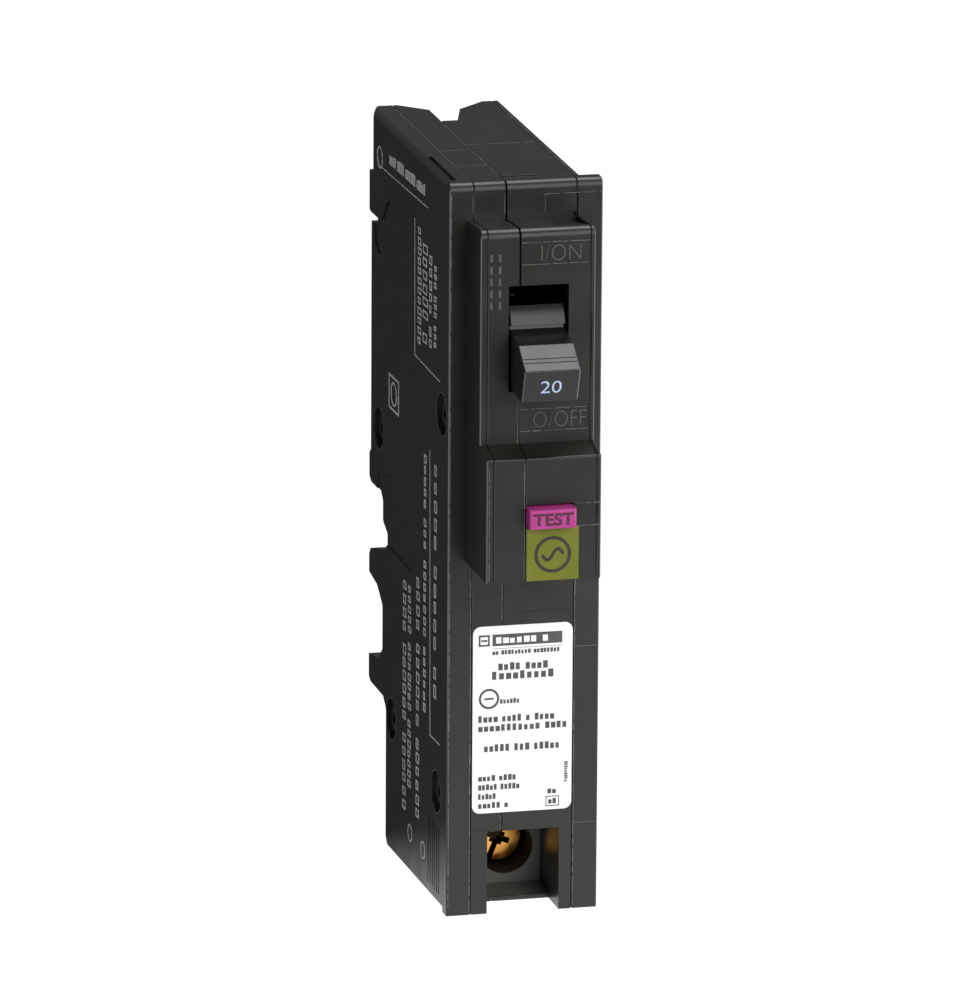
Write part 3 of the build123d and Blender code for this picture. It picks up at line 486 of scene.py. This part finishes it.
def mark_dust_and_highlights():
    """Pale broken lines along seams and small steps of the front and top, and round the
    rivets' rims: dust and painted highlights.
    """
    rng = random.Random(11)
    left, middle, right = SEAMS
    main = [((left, 0.6), (left, 58.8)), ((right, 0.6), (right, 58.8)),
            ((middle, 14.4), (middle, 16.6)), ((middle, 49.5), (middle, 59.0)),
            ((left, 117.6), (left, 121.0)), ((middle, 117.4), (middle, 121.0)),
            ((3.1, 117.1), (3.1, 120.3)), ((3.1, 120.3), (12.3, 120.3)),
            ((8.8, 44.6), (12.5, 44.6)), ((8.8, 14.6), (12.5, 14.6)),
            ((-12.4, 58.0), (-12.4, 1.0)), ((-12.4, 120.8), (-12.4, 60.0))]
    block = [((middle, 81.0), (middle, 89.8)),
             ((-3.2, 111.0), (8.0, 111.0)), ((-3.2, 114.6), (8.0, 114.6)),
             ((-3.2, 83.6), (8.0, 83.6)), ((-3.2, 87.2), (8.0, 87.2))]
    test = [((middle, 60.4), (middle, 79.6)), ((5.0, 72.5), (8.9, 72.5)),
            ((5.0, 68.8), (8.9, 68.8)), ((-9.4, 60.2), (-9.4, 79.4))]
    for name, depth, lines in (("dust_and_highlight_main", 0, main), ("dust_and_highlight_block", -HANDLE_BLOCK, block),
                               ("dust_and_highlight_test", -TEST_BLOCK, test)):
        marks = Marks(at(0, depth, 0), RIGHT, UP, PALE_LINE_RISE)
        for start, end in lines:
            pale_broken_line(marks, rng, start, end)
        marks.make(name, "case", edge_dust_and_highlight)
    slope = Vector((0, CASE_DEPTH, TOP_RISE)).normalized()
    top = Marks(at(0, 0, FRONT_TOP), RIGHT, slope, 0.02)
    for start, end in (((left, 2.6), (left, 54)), ((middle, 4.2), (middle, 48)),
                       ((right, 2.6), (right, 52)), ((-8.5, 12.0), (-3.6, 12.0)),
                       ((-8.5, 23.0), (-3.6, 23.0)), ((-3.2, 26.5), (8.2, 26.5)),
                       ((-3.2, 3.05), (3.6, 3.05)), ((-3.2, 4.05), (3.6, 4.05))):
        pale_broken_line(top, rng, start, end)
    top.make("dust_and_highlight_top", "case", edge_dust_and_highlight)
    rims = Marks(at(SIDE_X, 0, 0), FRONT, UP, PALE_LINE_RISE)
    for depth, height in RIVETS:
        rims.ring((-depth, height), 3.63, 3.53, 48)
    rims.make("dust_and_highlight_rivet_rims", "case", edge_dust_and_highlight)


def mark_handle():
    """The rating number on the tip face of the lever."""
    angle = math.radians(HANDLE_OFF)
    out = Vector((0, -math.cos(angle), -math.sin(angle)))
    up = Vector((0, -math.sin(angle), math.cos(angle)))
    origin = at(0, PIVOT[0], PIVOT[1]) + out * HANDLE_TIP * MM
    lettering("handle_number", "20", origin, RIGHT, up, (-2.0, -1.15, 1.45, 1.15), 0.02,
              "handle", white_print, thin=0.004)


def mark_badge():
    """A generic alternating-current sign in a ring."""
    badge = Marks(at(1.05, -BADGE_FACE, 64.3), RIGHT, UP, 0.02)
    badge.ring((0, 0), 3.05, 2.5, 48)
    steps, half_long, half_high = 24, 1.75, 0.95
    wave = []
    for i in range(steps + 1):
        u = -half_long + 2 * half_long * i / steps
        wave.append((u, half_high * math.sin(math.pi * u / half_long)))
    badge.path(wave, 0.52)
    badge.make("badge_sign", "case", olive_ink)


LABEL_PRINT_RISE = 0.015
# Rows of blocks on the label: left, right, foot, height, letters of each word and, where it
# isn't the usual one, the share of its pitch that a block fills.
LABEL_ROWS = (
    (-5.2, 6.2, 43.95, 0.72, (2, 9, 8)),
    (-4.2, 4.3, 41.3, 1.25, (4, 4)),
    (-5.25, 5.35, 39.75, 1.35, (9,), 0.8),
    (-3.87, -0.5, 35.65, 0.85, (6,), 0.8),
    (-7.5, 5.4, 32.6, 1.15, (4, 4, 1, 4)),
    (-7.5, 7.6, 31.05, 1.12, (11, 4), 0.8),
    (-6.5, 6.4, 27.6, 1.2, (5, 3, 5), 0.8),
    (-7.45, -0.95, 22.65, 0.98, (4, 4)),
    (-7.45, -0.4, 21.12, 0.98, (5, 5)),
    (-7.45, -4.4, 19.55, 0.98, (5,)),
    (-7.45, -2.25, 18.02, 1.0, (5, 1)),
    (4.2, 5.8, 19.9, 0.92, (2,)),
    (4.35, 5.8, 18.15, 0.95, (2,)),
)


def mark_label():
    """Rows of blocks, plain boxes and a plain ring in place of the label's print."""
    rng = random.Random(7)
    label = Marks(at(0, -LABEL_FACE, 0), RIGHT, UP, LABEL_PRINT_RISE)
    label.frame(-7.5, 45.45, -5.65, 47.35, 0.3)
    label.line((-7.1, 46.4), (-6.05, 46.4), 0.3)
    label.bar(-5.2, 45.42, 6.5, 47.38)
    label.bar(-5.15, 44.95, 6.5, 45.02)
    label.ring((-5.72, 36.57), 1.72, 1.34, 40)
    label.line((-6.5, 36.57), (-4.95, 36.57), 0.32)
    label.frame(3.9, 17.75, 6.2, 19.5, 0.17)
    for row in LABEL_ROWS:
        label.words(rng, *row)
    label.make("label_print", "case", label_ink)
    stub = Marks(at(0, -LABEL_FACE, 0), -UP, RIGHT, LABEL_PRINT_RISE)
    stub.words(rng, -25.2, -21.7, 7.0, 0.6, (9,), 0.8)
    stub.make("label_edge_print", "case", label_ink)
    head = Marks(at(0, -LABEL_FACE - LABEL_PRINT_RISE, 0), RIGHT, UP, 0.008, 0.0)
    head.words(rng, -4.6, 4.4, 45.85, 1.05, (6, 1))
    head.make("label_reversed_print", "case", paper)


# ---- marks on the left side ---------------------------------------------------------
SIDE_RISE = 0.05
LEAD_LINES = (
    ((-51.1, 117.4), (-49.7, 115.2), (-14.9, 115.5)),
    ((-23.9, 111.8), (-23.5, 89.0), (-6.0, 88.6)),
    ((-12.7, 75.6), (-11.8, 27.6), (-4.8, 27.8)),
)
# Columns read downwards: start and end as heights below zero, then place across, size of
# the letters and letters of each word.
SIDE_COLUMNS = (
    (-111, -91, -21.5, 2.2, (12,)), (-109, -92, -18.0, 3.4, (6, 1)),
    (-108, -92, -13.5, 1.6, (5, 2)), (-107, -93, -10.2, 1.6, (3, 3, 3)),
    (-49, -9, -31.0, 2.0, (4, 6, 6)), (-49, -14, -27.4, 2.0, (5, 7, 7)),
    (-52, -10, -21.5, 2.0, (4, 6, 6)), (-74, -30, -16.6, 1.5, (5, 3, 7, 6)),
    (-74, -34, -9.4, 1.6, (5, 5, 2)),
)


def mark_side():
    """Lead lines, rings and word-like rows, moulded into the side cover and coloured pale as
    a painted highlight.
    """
    rng = random.Random(11)
    side = Marks(at(SIDE_X, 0, 0), FRONT, UP, SIDE_RISE)
    for points in LEAD_LINES:
        side.path(points, 0.16)
    for centre in ((-25.6, 6.8), (-16.3, 6.6)):
        side.ring(centre, 1.5, 1.3, 28)
    side.ring((-49.0, 116.6), 1.9, 1.65, 28)
    side.words(rng, -42.0, -16.6, 117.0, 1.9, (4, 4, 6, 5), 0.75, 0.28)
    side.make("side_lines", "case", side_mark_highlight)
    columns = Marks(at(SIDE_X, 0, 0), -UP, FRONT, SIDE_RISE)
    for column in SIDE_COLUMNS:
        columns.words(rng, *column, 0.78, 0.26)
    columns.make("side_columns", "case", side_mark_highlight)
    emblem = Marks(at(SIDE_X, 0, 0), FRONT, UP, SIDE_RISE)
    emblem.frame(-41.9, 75.8, -34.8, 81.7, 0.35)
    emblem.ring((-38.35, 78.75), 2.1, 1.75, 32)
    emblem.make("side_emblem", "case", side_mark_highlight)


# ---- stage, light and camera --------------------------------------------------------
WHITE = 1.05                                # strength at which the camera sees pure white
TABLE_HALF = 6.0                            # half the table's width, in metres
TABLE_NEAR = 1.10                           # the table's glow just in front of the object
TABLE_FAR = 0.05                            # and half a metre in front
TABLE_BEHIND = 0.06                         # share of the near glow left behind the object
AHEAD_FADE = (-0.55, -0.06)                 # y, in metres, from the far to the near glow
BEHIND_FADE = (-0.02, 0.03)                 # y, in metres, over which it drops behind
SOFT_BOXES = (                              # direction, cosines of its edge, strength
    ((0, 0, 1), -1.6, -1.0, 0.15),          # the whole room, dimly
    ((0.20, 0.10, 0.97), 0.90, 0.98, 5.0),
    ((0.30, -0.90, 0.37), 0.86, 0.97, 2.6),
)


def show_camera(tree, lit, seen, output):
    """Give the camera one shader and everything else another."""
    path = tree.nodes.new("ShaderNodeLightPath")
    mix = tree.nodes.new("ShaderNodeMixShader")
    tree.links.new(path.outputs["Is Camera Ray"], mix.inputs["Fac"])
    tree.links.new(lit, mix.inputs[1])
    tree.links.new(seen, mix.inputs[2])
    tree.links.new(mix.outputs["Shader"], output.inputs["Surface"])


def make_stage():
    """A pale table: white to the camera, and brighter in front of the object than behind."""
    mesh = bpy.data.meshes.new("floor")
    corners = [(-1, -1), (1, -1), (1, 1), (-1, 1)]
    mesh.from_pydata([(x * TABLE_HALF, y * TABLE_HALF, 0) for x, y in corners],
                     [], [(0, 1, 2, 3)])
    floor = bpy.data.objects.new("floor", mesh)
    bpy.context.collection.objects.link(floor)
    material = bpy.data.materials.new("floor")
    material.use_nodes = True
    tree = material.node_tree
    tree.nodes.clear()
    output = tree.nodes.new("ShaderNodeOutputMaterial")
    depth = split_axes(tree)["Y"]
    ahead = spread(tree, depth, TABLE_FAR, TABLE_NEAR, *AHEAD_FADE)
    behind = spread(tree, depth, 1.0, TABLE_BEHIND, *BEHIND_FADE)
    seen = tree.nodes.new("ShaderNodeEmission")
    seen.inputs["Strength"].default_value = WHITE
    lit = tree.nodes.new("ShaderNodeEmission")
    tree.links.new(combine(tree, "MULTIPLY", ahead, behind), lit.inputs["Strength"])
    show_camera(tree, lit.outputs["Emission"], seen.outputs["Emission"], output)
    mesh.materials.append(material)


def glow_towards(tree, way, direction, start, end, strength):
    """Strength in a soft patch of sky about a direction; start and end are cosines."""
    dot = tree.nodes.new("ShaderNodeVectorMath")
    dot.operation = "DOT_PRODUCT"
    dot.inputs[1].default_value = Vector(direction).normalized()
    tree.links.new(way, dot.inputs[0])
    ramp = tree.nodes.new("ShaderNodeMapRange")
    ramp.interpolation_type = "SMOOTHSTEP"
    ramp.inputs["From Min"].default_value = start
    ramp.inputs["From Max"].default_value = end
    ramp.inputs["To Max"].default_value = strength
    tree.links.new(dot.outputs["Value"], ramp.inputs["Value"])
    return ramp.outputs["Result"]


def make_world():
    """White to the camera; to the object a dim room with soft boxes in chosen places."""
    world = bpy.data.worlds.new("studio")
    bpy.context.scene.world = world
    world.use_nodes = True
    tree = world.node_tree
    tree.nodes.clear()
    output = tree.nodes.new("ShaderNodeOutputWorld")
    seen = tree.nodes.new("ShaderNodeBackground")
    seen.inputs["Strength"].default_value = WHITE
    lit = tree.nodes.new("ShaderNodeBackground")
    for background in (seen, lit):
        background.inputs["Color"].default_value = (1, 1, 1, 1)
    way = tree.nodes.new("ShaderNodeTexCoord").outputs["Generated"]
    total = None
    for direction, start, end, strength in SOFT_BOXES:
        patch = glow_towards(tree, way, direction, start, end, strength)
        total = patch if total is None else combine(tree, "ADD", total, patch)
    tree.links.new(total, lit.inputs["Strength"])
    show_camera(tree, lit.outputs["Background"], seen.outputs["Background"], output)


def area_light(name, place, target, size, power):
    """A rectangular light at a place, turned towards a target, all in metres and watts."""
    data = bpy.data.lights.new(name, "AREA")
    data.shape = "RECTANGLE"
    data.size, data.size_y = size
    data.energy = power
    light = bpy.data.objects.new(name, data)
    bpy.context.collection.objects.link(light)
    light.location = place
    aim = Vector(target) - Vector(place)
    light.rotation_mode = "QUATERNION"
    light.rotation_quaternion = aim.to_track_quat("-Z", "Y")
    return light


STRIPS = (                                  # name, place, target, size, power
    ("left_strip", (-0.125, -0.045, 0.065), (0, -0.015, 0.065), (0.09, 0.14), 0.08),
    ("right_strip", (0.125, 0.015, 0.065), (0, -0.015, 0.065), (0.09, 0.14), 0.08),
    ("right_glow", (0.095, -0.105, 0.030), (0.01, -0.015, 0.06), (0.06, 0.18), 0.12),
    ("back_glow", (0.11, 0.21, 0.002), (0.11, 0.21, 1.0), (0.12, 0.28), 0.03),
)


def make_lights():
    """A key light with no mirror image, and strips that show only as mirror images."""
    key = area_light("key", (0.35, -1.1, 0.55), (0, 0, 0.06), (0.6, 0.6), 7.0)
    key.visible_glossy = False
    for strip in STRIPS:
        light = area_light(*strip)
        light.visible_camera = False
        light.visible_diffuse = False


def make_camera():
    """The photograph's viewpoint: turned to the left side, looking down, a slight roll."""
    turn, tilt, roll = math.radians(13.93), math.radians(14.50), math.radians(-0.36)
    distance = 1.44085
    target = at(-6.824, 0, 70.055)
    look = Vector((math.sin(turn) * math.cos(tilt), math.cos(turn) * math.cos(tilt),
                   -math.sin(tilt)))
    level = Vector((math.cos(turn), -math.sin(turn), 0))
    down = look.cross(level)
    right = level * math.cos(roll) + down * math.sin(roll)
    down = down * math.cos(roll) - level * math.sin(roll)
    data = bpy.data.cameras.new("camera")
    data.sensor_width = 36.0
    data.lens = 320.57
    data.clip_start, data.clip_end = 0.05, 30.0
    camera = bpy.data.objects.new("camera", data)
    bpy.context.collection.objects.link(camera)
    place = target - look * distance
    axes = Matrix((right, -down, -look)).transposed().to_4x4()
    camera.matrix_world = Matrix.Translation(place) @ axes
    bpy.context.scene.camera = camera


mark_front()
mark_dust_and_highlights()
mark_handle()
mark_badge()
mark_label()
mark_side()
make_stage()
make_world()
make_lights()
make_camera()
bpy.context.scene.view_settings.view_transform = "Standard"
